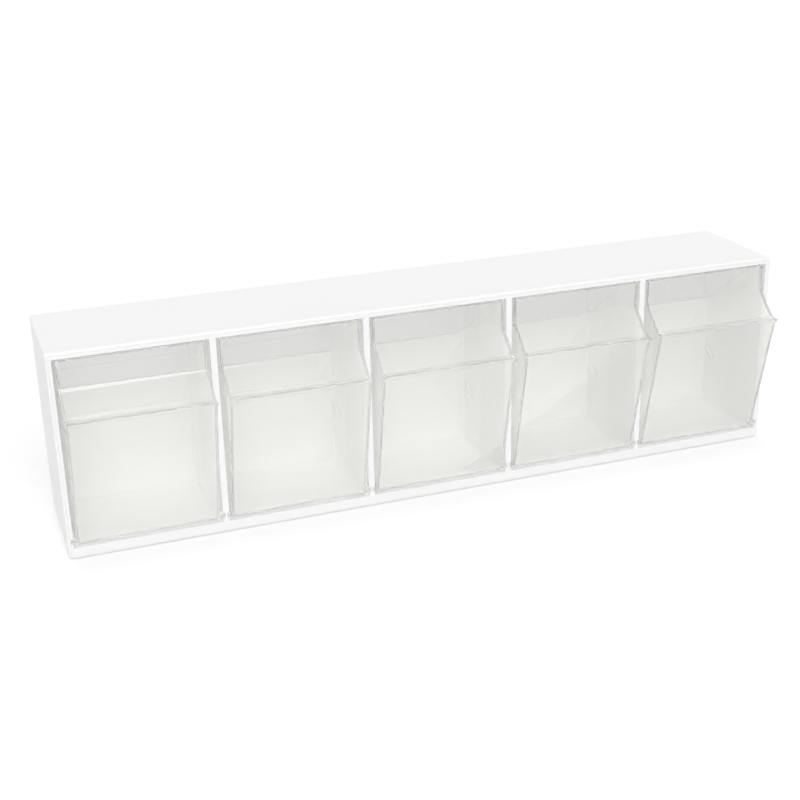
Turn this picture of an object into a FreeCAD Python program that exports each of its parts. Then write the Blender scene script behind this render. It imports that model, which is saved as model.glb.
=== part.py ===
import FreeCAD, Part
import math
import os
import re
import Sketcher

# Tilt-out bin cabinet: an opaque moulded sleeve closed by a back panel, split into bays by
# upright dividers, with a front frame that carries clear bins on snap-in studs.
# Lengths are millimetres, +Z is up, the fronts face -Y and the origin is the centre of the
# footprint, on the surface that the cabinet stands on.

sizeTable = [
    # the cabinet as a whole
    ("cabinetWidth", 600, "outside, left end to right end"),
    ("cabinetHeight", 164, "outside, table to top"),
    ("cabinetDepth", 98, "front plane to back, without the bins' lips"),
    ("binCount", 5, "bins side by side"),
    # sleeve
    ("sleeveWall", 2, "top, floor and both ends"),
    ("bottomCorner", 4.5, "outer radius of the two lower long edges"),
    ("topCorner", 1.8, "outer radius of the two upper long edges"),
    ("mouthRound", 1.4, "rounding of the sleeve's front edge"),
    ("toeHeight", 1, "gap between the sleeve's lower front edge and the table"),
    ("toeDepth", 6, "how far that gap runs back"),
    ("rebate", 1, "step inside the rear edge that seats the back panel"),
    ("guideHeight", 2, "height of the ribs that hold a divider"),
    ("guideThick", 1.2, "thickness of those ribs"),
    # front frame
    ("frameDepth", 22, "front plane to the posts' rear faces"),
    ("topRail", 5, "height of the upper rim, sleeve included"),
    ("bottomRail", 9, "height of the lower rim, sleeve included"),
    ("endPost", 4.5, "width of the rim at either end, sleeve included"),
    ("midPost", 5, "width of a post between two bins"),
    ("frameRound", 0.5, "rounding of the bays' front edges"),
    ("grooveDepth", 3, "how far a divider enters its post"),
    ("fit", 0.1, "play around each piece that slides into another"),
    # dividers and back panel
    ("dividerThick", 2, "plate of a divider"),
    ("dividerChamfer", 0.5, "lead-in along a divider's upright edges"),
    ("backThick", 2.5, "plate of the back panel"),
    ("bossRadius", 7, "thickened ring round each wall screw"),
    ("bossHeight", 2, "how far that ring stands forward"),
    ("screwRadius", 2.5, "hole for a wall screw"),
    ("screwInset", 34, "wall screws to the cabinet's underside and to its top"),
    # pivots and stops
    ("studRadius", 2.5, "pivot stud on each side of a bin"),
    ("studPlay", 0.08, "running fit of a stud in its socket, on the radius"),
    ("studEnd", 0.3, "room past the end of a stud"),
    ("socketDepth", 1.8, "how far a socket is sunk into a post"),
    ("throatPinch", 0.35, "what a stud has to flex past, above and below, to enter its socket"),
    ("tiltAngle", 45, "degrees from shut to fully tipped"),
    ("stopGap", 0.25, "ear to post when fully tipped"),
    ("earInset", 16.5, "ear's lower front corner to the bin's rear"),
    ("earLength", 14, "along its stop face"),
    ("earThick", 4, "square to its stop face"),
    ("earOverlap", 1, "how far an ear reaches behind a post"),
    # bins
    ("binPlay", 2.1, "side of a bin to the post beside it"),
    ("binTopPlay", 1.7, "upper edge of a bin's front to the top rail"),
    ("binFloorPlay", 0.4, "underside of a bin to the bottom rail"),
    ("binRearPlay", 11, "rear of a bin to the back panel"),
    ("binWall", 2.2, "wall of a bin"),
    ("binCorner", 3, "outer radius of a bin's two upright rear corners"),
    ("binEdge", 0.7, "bevel down both sides of a bin's front and round its sole"),
    ("toeRadius", 5.2, "rounding under a bin's front, about its studs"),
    ("cheekDrop", 52.3, "upper edge of a bin's front down to that of its rear wall"),
    ("cheekFlat", 13, "level stretch of a cheek behind the front plane"),
    ("cheekRound", 9, "where a cheek's level stretch runs into its slope"),
    ("crestDrop", 20.3, "upper edge of a bin's front down to where it leaves the front plane"),
    ("crestRound", 10, "hollow bend there"),
    ("slopeDrop", 17.5, "from that bend down to the back of the finger ledge"),
    ("ledgeRound", 2.6, "hollow bend at the back of the finger ledge"),
    ("ledgeFall", 1.1, "from the back of the finger ledge down to the tip of its lip"),
    ("lipReach", 27, "front plane to the tip of the lip"),
    ("ledgeWidth", 9, "tip of the lip to the back of the finger ledge"),
    ("lipThick", 1.8, "upright edge of the lip"),
    ("lipOverhang", 2.4, "tip of the lip to the slanted panel under it"),
    ("lipDrop", 4.2, "tip of the lip down to its root in that panel's wall"),
    # modelling
    ("overrun", 3, "how far a cutting shape passes the solid"),
    ("nearness", 0.0001, "two positions closer than this are the same"),
]

doc = FreeCAD.newDocument("TiltOutBins")
sizes = doc.addObject("Spreadsheet::Sheet", "Sizes")
for row, (alias, size, note) in enumerate(sizeTable, start=1):
    sizes.set(f"A{row}", alias)
    sizes.set(f"B{row}", str(size))
    sizes.set(f"C{row}", note)
    sizes.setAlias(f"B{row}", alias)
doc.recompute()

aliases = {alias for alias, size, note in sizeTable}

# the cabinet's bays, seen from its left end, its front plane and the table
openWidth = "((cabinetWidth - 2 * endPost - (binCount - 1) * midPost) / binCount)"
pitch = f"({openWidth} + midPost)"
bayCentre = f"(endPost + {openWidth} / 2)"
postCentre = f"(endPost + {openWidth} + midPost / 2)"
frontPlane = "((lipReach - cabinetDepth) / 2)"
backInner = "(cabinetDepth - backThick)"
frameInset = "(sleeveWall + fit)"

# a bin's profile, in depth behind the front plane and height above the table
binWidth = f"({openWidth} - 2 * binPlay)"
binTop = "(cabinetHeight - topRail - binTopPlay)"
binSole = "(bottomRail + binFloorPlay)"
binDepth = f"({backInner} - binRearPlay)"
rearHeight = f"({binTop} - cheekDrop)"
crestHeight = f"({binTop} - crestDrop)"
ledgeHeight = f"({crestHeight} - slopeDrop)"
lipHeight = f"({ledgeHeight} - ledgeFall)"
ledgeReach = "(lipReach - ledgeWidth)"
panelReach = "(lipReach - lipOverhang)"
panelTop = f"({lipHeight} + ledgeFall * lipOverhang / ledgeWidth)"
pivotDepth = "toeRadius"
pivotHeight = f"({binSole} + toeRadius)"


def bound(text):
    """Point every size in an expression at its cell in the sheet."""
    return re.sub(r"[A-Za-z]\w*", lambda m: f"Sizes.{m[0]}" if m[0] in aliases else m[0], text)


def value(text):
    """The number that an expression has now."""
    return float(sizes.evalExpression(bound(text)))


nearness = value("nearness")


def near(a, b):
    """Whether two positions are the same."""
    return abs(a - b) < nearness


def runs(direction, axis):
    """Whether an edge's direction is along one of the axes."""
    return near(abs(getattr(direction, axis)), 1)


def newBody(label, x):
    """A body whose own frame stands on the table, in the front plane, at x."""
    body = doc.addObject("PartDesign::Body", label)
    body.Label = label
    body.setExpression("Placement.Base.x", bound(x))
    body.setExpression("Placement.Base.y", bound(frontPlane))
    return body


def datum(body, role):
    """One of the body's own planes or axes."""
    return next(item for item in body.Origin.OriginFeatures if item.Role == role)


def newSketch(body, name, role, offset="0"):
    """A sketch on a plane of the body, moved along that plane's normal."""
    sketch = body.newObject("Sketcher::SketchObject", name)
    sketch.AttachmentSupport = (datum(body, role), [""])
    sketch.MapMode = "FlatFace"
    sketch.setExpression("AttachmentOffset.Base.z", bound(offset))
    return sketch


def pinDown(sketch, geometry, point, spot):
    """Dimension a point of the sketch from its origin."""
    for kind, size in zip(("DistanceX", "DistanceY"), spot):
        index = sketch.addConstraint(Sketcher.Constraint(kind, geometry, point, value(size)))
        sketch.setExpression(f"Constraints[{index}]", bound(size))


def outline(sketch, corners, arcs=None):
    """A closed outline through the given corners, counterclockwise where it has arcs.

    arcs names, by its first corner, each stretch that is an arc, with the arc's centre. That
    first corner is left to the solver, because the line before it runs in smoothly.
    """
    arcs = arcs or {}
    spots = [FreeCAD.Vector(value(x), value(y), 0) for x, y in corners]
    first = sketch.GeometryCount
    for index, (start, end) in enumerate(zip(spots, spots[1:] + spots[:1])):
        if index in arcs:
            middle = FreeCAD.Vector(*(value(size) for size in arcs[index]), 0)
            ring = Part.Circle(middle, FreeCAD.Vector(0, 0, 1), (end - middle).Length)
            turns = [math.atan2(spot.y - middle.y, spot.x - middle.x) for spot in (start, end)]
            sketch.addGeometry(Part.ArcOfCircle(ring, *turns))
        else:
            sketch.addGeometry(Part.LineSegment(start, end))
    for index in range(len(corners)):
        here, before = first + index, first + (index - 1) % len(corners)
        if index in arcs:
            sketch.addConstraint(Sketcher.Constraint("Tangent", before, 2, here, 1))
            pinDown(sketch, here, 3, arcs[index])
        else:
            sketch.addConstraint(Sketcher.Constraint("Coincident", before, 2, here, 1))
            pinDown(sketch, here, 1, corners[index])


def rectangle(sketch, low, high):
    """A rectangle between two opposite corners."""
    outline(sketch, [low, (high[0], low[1]), high, (low[0], high[1])])


def sleeveOutline(sketch, inset):
    """The cabinet's end view, drawn smaller all round by inset, with its round lower corners."""
    left, right, top = inset, f"(cabinetWidth - {inset})", f"(cabinetHeight - {inset})"
    outline(sketch,
            [("cabinetWidth - bottomCorner", inset), (right, "bottomCorner"), (right, top),
             (left, top), (left, "bottomCorner"), ("bottomCorner", inset)],
            arcs={0: ("cabinetWidth - bottomCorner", "bottomCorner"),
                  4: ("bottomCorner", "bottomCorner")})


def circle(sketch, centre, radius):
    """A full circle."""
    middle = FreeCAD.Vector(value(centre[0]), value(centre[1]), 0)
    ring = sketch.addGeometry(Part.Circle(middle, FreeCAD.Vector(0, 0, 1), value(radius)))
    pinDown(sketch, ring, 3, centre)
    index = sketch.addConstraint(Sketcher.Constraint("Radius", ring, value(radius)))
    sketch.setExpression(f"Constraints[{index}]", bound(radius))


def extrude(body, kind, name, sketch, length, reverse=False, symmetric=False):
    """A pad or pocket of the sketch, which has to add or take away material."""
    before = body.Shape.Volume if body.Tip else 0
    feature = body.newObject(f"PartDesign::{kind}", name)
    feature.Profile = sketch
    feature.setExpression("Length", bound(length))
    feature.Reversed = reverse
    if symmetric:
        feature.SideType = "Symmetric"
    doc.recompute()
    change = feature.Shape.Volume - before
    if (kind == "Pad") != (change > 0) or change == 0:
        raise RuntimeError(f"{body.Label}.{name} changes the volume by {change}")
    return feature


def blend(body, name, feature, radius, test, kind="Fillet"):
    """Round or chamfer the edges whose middle and direction pass a test."""
    edges = []
    for number, edge in enumerate(feature.Shape.Edges, start=1):
        halfway = (edge.FirstParameter + edge.LastParameter) / 2
        if test(edge.valueAt(halfway), edge.tangentAt(halfway)):
            edges.append(f"Edge{number}")
    if not edges:
        raise RuntimeError(f"{body.Label}.{name} finds no edge")
    rounding = body.newObject(f"PartDesign::{kind}", name)
    rounding.Base = (feature, edges)
    rounding.setExpression("Radius" if kind == "Fillet" else "Size", bound(radius))
    doc.recompute()
    return rounding


def repeat(body, name, features, count):
    """The same features in every bay, or at every post."""
    pattern = body.newObject("PartDesign::LinearPattern", name)
    pattern.Originals = features
    pattern.Direction = (datum(body, "X_Axis"), [""])
    pattern.Mode = "Spacing"
    pattern.setExpression("Offset", bound(pitch))
    pattern.setExpression("Occurrences", bound(count))
    body.Tip = pattern


def mirror(body, name, features):
    """The same features on the other side of a bin."""
    copy = body.newObject("PartDesign::Mirrored", name)
    copy.Originals = features
    copy.MirrorPlane = (datum(body, "YZ_Plane"), [""])
    body.Tip = copy


def buildSleeve():
    """Top, floor and both ends in one tube, open at the front and at the back."""
    body = newBody("housing_sleeve", "-cabinetWidth / 2")
    tube = newSketch(body, "TubeSection", "XZ_Plane")
    sleeveOutline(tube, "0")
    sleeveOutline(tube, "sleeveWall")
    shell = extrude(body, "Pad", "Tube", tube, "cabinetDepth", reverse=True)

    width, height = value("cabinetWidth"), value("cabinetHeight")
    upper = blend(body, "UpperCorners", shell, "topCorner",
                  lambda middle, along: runs(along, "y") and near(middle.z, height))
    blend(body, "MouthEdge", upper, "mouthRound",
          lambda middle, along: near(middle.y, 0) and (near(middle.x, 0) or near(middle.x, width)))

    # the lower front edge stands clear of the table
    toe = newSketch(body, "ToeSection", "YZ_Plane", "-overrun")
    rectangle(toe, ("-overrun", "-overrun"), ("toeDepth", "toeHeight"))
    extrude(body, "Pocket", "Toe", toe, "cabinetWidth + 2 * overrun", reverse=True)

    seat = newSketch(body, "RebateSection", "XZ_Plane", "-cabinetDepth")
    sleeveOutline(seat, "(sleeveWall - rebate)")
    extrude(body, "Pocket", "Rebate", seat, "backThick", reverse=True)

    # pairs of low ribs on floor and top that hold the edges of each divider
    gap = "(dividerThick / 2 + fit)"
    sides = [(f"{postCentre} - {gap} - guideThick", f"{postCentre} - {gap}"),
             (f"{postCentre} + {gap}", f"{postCentre} + {gap} + guideThick")]
    levels = [("sleeveWall", "sleeveWall + guideHeight"),
              ("cabinetHeight - sleeveWall - guideHeight", "cabinetHeight - sleeveWall")]
    ribs = newSketch(body, "GuideSection", "XZ_Plane", "-(frameDepth + fit)")
    for left, right in sides:
        for low, high in levels:
            rectangle(ribs, (left, low), (right, high))
    guide = extrude(body, "Pad", "Guide", ribs, f"{backInner} - frameDepth - fit", reverse=True)
    repeat(body, "Guides", [guide], "binCount - 1")
    return body


def buildFrame():
    """The front frame: rims, posts, divider grooves and pivot sockets."""
    body = newBody("front_frame", "-cabinetWidth / 2")
    face = newSketch(body, "FrameSection", "XZ_Plane")
    sleeveOutline(face, frameInset)
    for bay in range(int(value("binCount"))):
        left = f"(endPost + {bay} * {pitch})"
        rectangle(face, (left, "bottomRail"), (f"{left} + {openWidth}", "cabinetHeight - topRail"))
    grid = extrude(body, "Pad", "Grid", face, "frameDepth", reverse=True)

    left, right = value("endPost") - nearness, value("cabinetWidth - endPost") + nearness
    low, high = value("bottomRail") - nearness, value("cabinetHeight - topRail") + nearness
    blend(body, "BayEdges", grid, "frameRound",
          lambda middle, along: near(middle.y, 0) and left < middle.x < right and low < middle.z < high)

    # a groove up the rear of each post takes the divider
    slot = newSketch(body, "GrooveSection", "XZ_Plane", "-frameDepth")
    rectangle(slot, (f"{postCentre} - dividerThick / 2 - fit", "0"),
              (f"{postCentre} + dividerThick / 2 + fit", "cabinetHeight"))
    groove = extrude(body, "Pocket", "Groove", slot, "grooveDepth", reverse=True)
    repeat(body, "Grooves", [groove], "binCount - 1")

    # a blind socket in each side of a bay, reached from the front by a narrower channel
    cuts = []
    for side, edge, outward in (("Left", "endPost", False), ("Right", f"endPost + {openWidth}", True)):
        hole = newSketch(body, f"{side}SocketSection", "YZ_Plane", edge)
        circle(hole, (pivotDepth, pivotHeight), "studRadius + studPlay")
        cuts.append(extrude(body, "Pocket", f"{side}Socket", hole, "socketDepth", reverse=outward))
        channel = newSketch(body, f"{side}ThroatSection", "YZ_Plane", edge)
        rectangle(channel, ("-overrun", f"{pivotHeight} - studRadius + throatPinch"),
                  (pivotDepth, f"{pivotHeight} + studRadius - throatPinch"))
        cuts.append(extrude(body, "Pocket", f"{side}Throat", channel, "socketDepth", reverse=outward))
    repeat(body, "Sockets", cuts, "binCount")
    return body


def buildDivider(number):
    """One upright plate between two bays, from its post to the back panel."""
    body = newBody(f"divider_{number}", f"{postCentre} + {number - 1} * {pitch} - cabinetWidth / 2")
    side = newSketch(body, "PlateSection", "YZ_Plane")
    rectangle(side, ("frameDepth - grooveDepth + fit", "sleeveWall + fit"),
              (f"{backInner} - fit", "cabinetHeight - sleeveWall - fit"))
    plate = extrude(body, "Pad", "Plate", side, "dividerThick", symmetric=True)
    blend(body, "LeadIn", plate, "dividerChamfer", lambda middle, along: runs(along, "z"), "Chamfer")
    return body


def buildBack():
    """Back panel in the sleeve's rebate, with four bossed holes for wall screws."""
    body = newBody("back_panel", "-cabinetWidth / 2")
    face = newSketch(body, "PlateSection", "XZ_Plane", "-cabinetDepth")
    sleeveOutline(face, "(sleeveWall - rebate + fit)")
    extrude(body, "Pad", "Plate", face, "backThick - fit")

    rings = newSketch(body, "BossSection", "XZ_Plane", f"-({backInner} + fit)")
    holes = newSketch(body, "HoleSection", "XZ_Plane", "-(cabinetDepth + overrun)")
    for across in (bayCentre, f"(cabinetWidth - {bayCentre})"):
        for up in ("screwInset", "(cabinetHeight - screwInset)"):
            circle(rings, (across, up), "bossRadius")
            circle(holes, (across, up), "screwRadius")
    extrude(body, "Pad", "Bosses", rings, "bossHeight")
    extrude(body, "Pocket", "ScrewHoles", holes, "backThick + bossHeight + 2 * overrun", reverse=True)
    return body


def buildBin(number):
    """One clear bin: box, bulged front with a finger lip, pivot studs and stop ears."""
    body = newBody(f"bin_{number}", f"{bayCentre} + {number - 1} * {pitch} - cabinetWidth / 2")
    side = newSketch(body, "SideSection", "YZ_Plane")
    outline(side,
            [("0", binTop), ("0", crestHeight), (f"-{ledgeReach}", ledgeHeight),
             (f"-{panelReach}", panelTop), ("0", pivotHeight), (pivotDepth, binSole),
             (binDepth, binSole), (binDepth, rearHeight), ("cheekFlat", binTop)],
            arcs={4: (pivotDepth, pivotHeight)})
    block = extrude(body, "Pad", "Block", side, binWidth, symmetric=True)

    top, rear = value(binTop), value(binDepth)
    heel = blend(body, "Heel", block, "binCorner",
                 lambda middle, along: near(middle.y, rear) and runs(along, "z"))
    cheek = blend(body, "Cheek", heel, "cheekRound",
                  lambda middle, along: near(middle.y, value("cheekFlat")) and runs(along, "x"))
    crest = blend(body, "Crest", cheek, "crestRound",
                  lambda middle, along: near(middle.z, value(crestHeight)) and runs(along, "x"))
    ledge = blend(body, "Ledge", crest, "ledgeRound",
                  lambda middle, along: near(middle.z, value(ledgeHeight)) and runs(along, "x"))

    # hollowed from above: the faces between the cheeks, down to the rear wall, are left open
    centres = [face.CenterOfMass for face in ledge.Shape.Faces]
    hollow = body.newObject("PartDesign::Thickness", "Hollow")
    hollow.Base = (ledge, [f"Face{index}" for index, centre in enumerate(centres, start=1)
                           if near(centre.x, 0) and centre.y > nearness and centre.z > value(rearHeight)])
    hollow.Reversed = True
    hollow.setExpression("Value", bound("binWall"))
    doc.recompute()

    # the lip is rooted halfway into the wall, which leans back towards the studs
    root = f"({lipHeight} - lipDrop)"
    lean = f"{panelReach} / ({panelTop} - {pivotHeight})"
    lip = newSketch(body, "LipSection", "YZ_Plane")
    outline(lip, [(f"-{panelReach}", panelTop), ("-lipReach", lipHeight),
                  ("-lipReach", f"{lipHeight} - lipThick"),
                  (f"binWall / 2 - ({root} - {pivotHeight}) * {lean}", root),
                  (f"binWall / 2 - {panelReach}", f"{panelTop} - binWall / 2")])
    fin = extrude(body, "Pad", "Lip", lip, binWidth, symmetric=True)
    blend(body, "FrontEdges", fin, "binEdge",
          lambda middle, along: near(abs(middle.x), value(binWidth) / 2)
          and middle.y < value(pivotDepth) - nearness and middle.z < top - nearness, "Chamfer")

    inWall = f"({binWidth} - binWall) / 2"
    disc = newSketch(body, "StudSection", "YZ_Plane", inWall)
    circle(disc, (pivotDepth, pivotHeight), "studRadius")
    stud = extrude(body, "Pad", "Stud", disc, "binWall / 2 + binPlay + socketDepth - studEnd")

    # when the bin is fully tipped, the ear's stop face stands upright just behind the post
    across, up = "sin(tiltAngle)", "cos(tiltAngle)"
    low = (f"({binDepth} - earInset)",
           f"({pivotHeight} + (({binDepth} - earInset - {pivotDepth}) * {up}"
           f" - (frameDepth + stopGap - {pivotDepth})) / {across})")
    high = (f"({low[0]} + earLength * {across})", f"({low[1]} + earLength * {up})")
    tab = newSketch(body, "EarSection", "YZ_Plane", inWall)
    outline(tab, [low, (f"{low[0]} + earThick * {up}", f"{low[1]} - earThick * {across}"),
                  (f"{high[0]} + earThick * {up}", f"{high[1]} - earThick * {across}"), high])
    ear = extrude(body, "Pad", "Ear", tab, "binWall / 2 + binPlay + earOverlap")
    mirror(body, "FarSide", [stud, ear])
    return body


posts, bins = int(value("binCount - 1")), int(value("binCount"))
bodies = [buildSleeve(), buildFrame(), buildBack()]
bodies += [buildDivider(number) for number in range(1, posts + 1)]
bodies += [buildBin(number) for number in range(1, bins + 1)]

doc.recompute()
for item in doc.Objects:
    if {"Invalid", "Error"} & set(item.State):
        raise RuntimeError(f"{item.Label} did not rebuild: {item.State}")
for body in bodies:
    if body.Shape.isNull() or not body.Shape.isValid() or len(body.Shape.Solids) != 1:
        raise RuntimeError(f"{body.Label} is not one valid solid")

os.makedirs("parts", exist_ok=True)
for body in bodies:
    body.Shape.exportStep(f"parts/{body.Label}.step")
    box = body.Shape.optimalBoundingBox(False, False)
    print(f"{body.Label}: {body.Shape.Volume / 1000:.1f} cm3, "
          f"{box.XLength:.1f} x {box.YLength:.1f} x {box.ZLength:.1f} mm")
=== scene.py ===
import math
import bpy
from mathutils import Matrix

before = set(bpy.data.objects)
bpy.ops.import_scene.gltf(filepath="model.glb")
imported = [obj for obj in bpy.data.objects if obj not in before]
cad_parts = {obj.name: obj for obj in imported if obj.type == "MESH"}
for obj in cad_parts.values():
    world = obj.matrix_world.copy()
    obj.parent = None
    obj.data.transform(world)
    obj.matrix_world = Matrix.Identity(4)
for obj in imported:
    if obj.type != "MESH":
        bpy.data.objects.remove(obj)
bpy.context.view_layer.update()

# A long white cabinet with five clear bins that tip forward. Metres, +Z up, fronts face -Y.
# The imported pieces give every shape. This file adds the finishes, the studio and the camera.

scene = bpy.context.scene


# Shader maths. A Wire is one socket, and sums on it add nodes to its tree.

class Wire:
    def __init__(self, paint, socket):
        self.paint = paint
        self.socket = socket

    def sum(self, operation, first, second):
        return self.paint.add("ShaderNodeMath", {"operation": operation}, {0: first, 1: second})

    def __add__(self, other):
        return self.sum("ADD", self, other)

    def __radd__(self, other):
        return self.sum("ADD", other, self)

    def __sub__(self, other):
        return self.sum("SUBTRACT", self, other)

    def __rsub__(self, other):
        return self.sum("SUBTRACT", other, self)

    def __mul__(self, other):
        return self.sum("MULTIPLY", self, other)

    def __rmul__(self, other):
        return self.sum("MULTIPLY", other, self)

    def most(self, other):
        return self.sum("MAXIMUM", self, other)


class Paint:
    # a material or world whose nodes are added one by one
    def __init__(self, owner):
        owner.use_nodes = True
        self.tree = owner.node_tree
        self.tree.nodes.clear()

    def add(self, kind, settings=None, values=None, output=0):
        node = self.tree.nodes.new(kind)
        for name, setting in (settings or {}).items():
            setattr(node, name, setting)
        for name, value in (values or {}).items():
            if isinstance(value, Wire):
                self.tree.links.new(value.socket, node.inputs[name])
            else:
                node.inputs[name].default_value = value
        return Wire(self, node.outputs[output]) if node.outputs else None

    def place(self, stretch):
        spot = self.add("ShaderNodeTexCoord", output="Object")
        return self.add("ShaderNodeMapping", None, {"Vector": spot, "Scale": stretch})

    def noise(self, scale, detail=2.0, roughness=0.5, stretch=(1, 1, 1)):
        # scale in features a metre
        return self.add("ShaderNodeTexNoise", None, {
            "Vector": self.place(stretch), "Scale": scale, "Detail": detail, "Roughness": roughness})

    def band(self, wire, low, high):
        # 0 below low, 1 above high, smooth between
        return self.add("ShaderNodeMapRange", {"interpolation_type": "SMOOTHSTEP"},
                        {"Value": wire, "From Min": low, "From Max": high})

    def blend(self, factor, first, second):
        # a colour mix has its factor at 0, its colours at 6 and 7 and its result at 2
        return self.add("ShaderNodeMix", {"data_type": "RGBA"}, {0: factor, 6: first, 7: second}, output=2)

    def bump(self, height, strength, distance, under=None):
        values = {"Height": height, "Strength": strength, "Distance": distance}
        if under:
            values["Normal"] = under
        return self.add("ShaderNodeBump", None, values)


def newMaterial(name):
    material = bpy.data.materials.new(name)
    return material, Paint(material)


def anyRay(paint, *names):
    # 1 where the light path is one of these
    rays = [paint.add("ShaderNodeLightPath", output=name) for name in names]
    joined = rays[0]
    for ray in rays[1:]:
        joined = joined.most(ray)
    return joined


def seen(paint):
    # what the camera sees, directly, mirrored or through clear plastic
    return anyRay(paint, "Is Camera Ray", "Is Glossy Ray", "Is Transmission Ray")


# Opaque white mouldings of the cabinet. The first dictionary holds for all of them, and each
# moulding has its own whites, gloss and wear.

cabinetPlastic = {
    "cloud": {"scale": 9, "detail": 3.0},           # slow drift of the pigment
    "speck": {"scale": 540},
    "cloudShare": 0.5,                              # how far each one shades the white
    "speckShare": 0.3,
    "scuff": {"scale": 30, "detail": 4.0, "roughness": 0.7, "stretch": (0.15, 6, 6)},   # long fine rubs
    "scuffStart": 0.56,
    "scuffFull": 0.72,
    "cloudGloss": 0.08,
    "wave": {"scale": 14, "detail": 1.0},           # walls are never quite flat
    "waveStrength": 0.3,
    "waveDepth": 0.0006,
    "grain": {"scale": 1400, "detail": 1.0},
    "grainStrength": 0.35,
    "ior": 1.49,
}
sleeveLook = {
    "white": (0.925, 0.925, 0.925, 1),
    "shade": (0.902, 0.904, 0.906, 1),
    "gloss": 0.36,
    "grainDepth": 0.00005,   # spark-eroded texture of the tool
    "scuffs": 0.09,
}
frameLook = {
    "white": (0.925, 0.925, 0.925, 1),
    "shade": (0.908, 0.909, 0.91, 1),
    "gloss": 0.26,
    "grainDepth": 0.00001,   # nearly polished
    "scuffs": 0.12,
}
panelLook = {
    "white": (0.915, 0.916, 0.914, 1),
    "shade": (0.895, 0.896, 0.897, 1),
    "gloss": 0.42,
    "grainDepth": 0.00006,
    "scuffs": 0.05,
}
dividerLook = {
    "white": (0.92, 0.921, 0.92, 1),
    "shade": (0.9, 0.902, 0.903, 1),
    "gloss": 0.38,
    "grainDepth": 0.00004,
    "scuffs": 0.06,
}


def makeCabinetPlastic(name, look):
    material, paint = newMaterial(name)
    shared = cabinetPlastic
    cloud = paint.noise(**shared["cloud"])
    speck = paint.noise(**shared["speck"])
    colour = paint.blend(cloud * shared["cloudShare"] + speck * shared["speckShare"],
                         look["white"], look["shade"])
    scuff = paint.band(paint.noise(**shared["scuff"]), shared["scuffStart"], shared["scuffFull"])
    roughness = look["gloss"] + cloud * shared["cloudGloss"] + scuff * look["scuffs"]
    wave = paint.bump(paint.noise(**shared["wave"]), shared["waveStrength"], shared["waveDepth"])
    grain = paint.bump(paint.noise(**shared["grain"]), shared["grainStrength"], look["grainDepth"], wave)
    surface = paint.add("ShaderNodeBsdfPrincipled", None, {
        "Base Color": colour, "Roughness": roughness, "Normal": grain, "IOR": shared["ior"]})
    paint.add("ShaderNodeOutputMaterial", None, {"Surface": surface})
    return material


# Clear plastic of the bins, a little milky. Lamps and scattered light pass it as if it were open,
# so that the inside of the cabinet is lit.

binLook = {
    "tint": (0.999, 0.998, 0.985, 1),
    "clearness": 0.86,                  # the rest scatters as white plastic does
    "ior": 1.45,
    "straight": 0.18,                   # share seen through unbent, which softens the walls' edges
    "passes": (0.995, 0.995, 0.993, 1),   # colour of what goes straight through
    "haze": 0.02,
    "smudge": {"scale": 22, "detail": 5.0, "roughness": 0.6},   # handled surfaces
    "smudgeStart": 0.55,
    "smudgeFull": 0.75,
    "smudgeHaze": 0.06,
    # upright rubs, from the bin's travel
    "rub": {"scale": 60, "detail": 3.0, "roughness": 0.6, "stretch": (8, 8, 0.3)},
    "rubStart": 0.6,
    "rubFull": 0.75,
    "rubHaze": 0.03,
    "wave": {"scale": 28, "detail": 1.0},
    "waveStrength": 0.4,
    "waveDepth": 0.00008,
}


def makeBinPlastic(name, look):
    material, paint = newMaterial(name)
    smudge = paint.band(paint.noise(**look["smudge"]), look["smudgeStart"], look["smudgeFull"])
    rub = paint.band(paint.noise(**look["rub"]), look["rubStart"], look["rubFull"])
    wave = paint.bump(paint.noise(**look["wave"]), look["waveStrength"], look["waveDepth"])
    roughness = look["haze"] + smudge * look["smudgeHaze"] + rub * look["rubHaze"]
    clear = paint.add("ShaderNodeBsdfPrincipled", None, {
        "Base Color": look["tint"], "Transmission Weight": look["clearness"], "IOR": look["ior"],
        "Roughness": roughness, "Normal": wave})
    pane = paint.add("ShaderNodeBsdfTransparent", None, {"Color": look["passes"]})
    wall = paint.add("ShaderNodeMixShader", None, {0: look["straight"], 1: clear, 2: pane})
    passing = anyRay(paint, "Is Shadow Ray", "Is Diffuse Ray")
    surface = paint.add("ShaderNodeMixShader", None, {0: passing, 1: wall, 2: pane})
    paint.add("ShaderNodeOutputMaterial", None, {"Surface": surface})
    return material


def dressNodes():
    sleeve = makeCabinetPlastic("sleevePlastic", sleeveLook)
    rim = makeCabinetPlastic("framePlastic", frameLook)
    panel = makeCabinetPlastic("panelPlastic", panelLook)
    divider = makeCabinetPlastic("dividerPlastic", dividerLook)
    clear = makeBinPlastic("binPlastic", binLook)
    finishes = {"housing": sleeve, "front": rim, "back": panel, "divider": divider, "bin": clear}
    for name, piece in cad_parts.items():
        for slot in piece.material_slots:
            slot.material = finishes[name.split("_")[0]]
    print("dressed", len(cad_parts), "pieces")


# Studio: a white floor, an even sky, a broad key in front, a lamp overhead and a low, weak fill

studio = {
    "white": (1, 1, 1, 1),
    "floorReach": 14,         # metres from the cabinet to the floor's edges
    "floorWhite": (0.90, 0.90, 0.90, 1),
    "floorLift": 0.13,        # glow that takes the paper to white where it is seen
    "sky": 0.59,              # level at which it lights the cabinet; it is seen as white
    # degrees above the floor, degrees round from the front, degrees across, level
    "key": {"height": 45, "side": -8, "spread": 36, "level": 0.365},
    "overhead": {"height": 83, "side": 180, "spread": 14, "level": 0.13},
    # metres, metres across, watts
    "fill": {"place": (-0.5, -0.9, 0.25), "across": 0.6, "power": 0.42},
}

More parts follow.
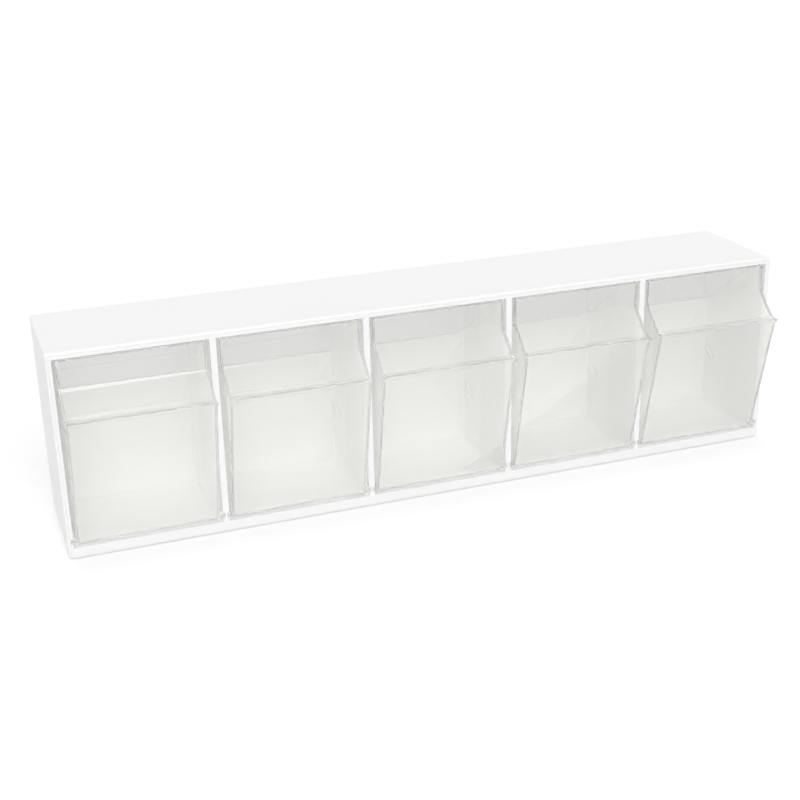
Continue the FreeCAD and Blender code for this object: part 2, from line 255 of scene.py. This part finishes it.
# Clear walls lie one behind another, and light has to reach the cabinet's inside through them
lightPaths = {
    "max_bounces": 32,
    "diffuse_bounces": 12,
    "glossy_bounces": 24,
    "transmission_bounces": 32,
    "transparent_max_bounces": 32,
}


def makeFloor():
    reach = studio["floorReach"]
    corners = [(-reach, -reach, 0), (reach, -reach, 0), (reach, reach, 0), (-reach, reach, 0)]
    mesh = bpy.data.meshes.new("floor")
    mesh.from_pydata(corners, [], [(0, 1, 2, 3)])
    floor = bpy.data.objects.new("floor", mesh)
    scene.collection.objects.link(floor)
    material, paint = newMaterial("floorPaper")
    paper = paint.add("ShaderNodeBsdfDiffuse", None, {"Color": studio["floorWhite"]})
    glow = paint.add("ShaderNodeEmission", None, {
        "Color": studio["white"], "Strength": seen(paint) * studio["floorLift"]})
    both = paint.add("ShaderNodeAddShader", None, {0: paper, 1: glow})
    paint.add("ShaderNodeOutputMaterial", None, {"Surface": both})
    mesh.materials.append(material)


def makeSky():
    world = bpy.data.worlds.new("studioSky")
    scene.world = world
    paint = Paint(world)
    mask = seen(paint)
    sky = paint.add("ShaderNodeBackground", None, {
        "Color": studio["white"], "Strength": mask + (1 - mask) * studio["sky"]})
    paint.add("ShaderNodeOutputWorld", None, {"Surface": sky})


def makeLamp(name, kind):
    light = bpy.data.lights.new(name, kind)
    lamp = bpy.data.objects.new(name, light)
    scene.collection.objects.link(lamp)
    return light, lamp


def makeDistantLamp(name):
    values = studio[name]
    light, lamp = makeLamp(name, "SUN")
    light.angle = math.radians(values["spread"])
    light.energy = math.pi * values["level"]
    lamp.rotation_euler = (math.radians(90 - values["height"]), 0, math.radians(values["side"]))


def makeSoftbox(name):
    values = studio[name]
    light, lamp = makeLamp(name, "AREA")
    light.shape = "DISK"
    light.size = values["across"]
    light.energy = values["power"]
    lamp.location = values["place"]
    lamp.rotation_euler = lamp.location.to_track_quat("Z", "Y").to_euler()


makeFloor()
makeSky()
makeDistantLamp("key")
makeDistantLamp("overhead")
makeSoftbox("fill")
for pathName, limit in lightPaths.items():
    setattr(scene.cycles, pathName, limit)
print("studio ready")

# Camera at the photograph's place

cameraPose = {
    "place": (-0.3659, -0.9788, 0.4853),
    "yaw": 19.383,    # degrees, to the right of straight at the cabinet
    "pitch": 21.686,  # degrees, down
    "roll": -1.478,   # degrees
    "lens": 61.55,    # mm
    "sensor": 36,     # mm
}


def makeCamera():
    values = cameraPose
    data = bpy.data.cameras.new("camera")
    data.lens = values["lens"]
    data.sensor_width = values["sensor"]
    camera = bpy.data.objects.new("camera", data)
    scene.collection.objects.link(camera)
    turn = (Matrix.Rotation(-math.radians(values["yaw"]), 3, "Z")
            @ Matrix.Rotation(math.radians(90 - values["pitch"]), 3, "X")
            @ Matrix.Rotation(math.radians(values["roll"]), 3, "Z"))
    camera.location = values["place"]
    camera.rotation_euler = turn.to_euler()
    scene.camera = camera
    print("camera placed")


makeCamera()
dressNodes()
scene.view_settings.view_transform = "Standard"
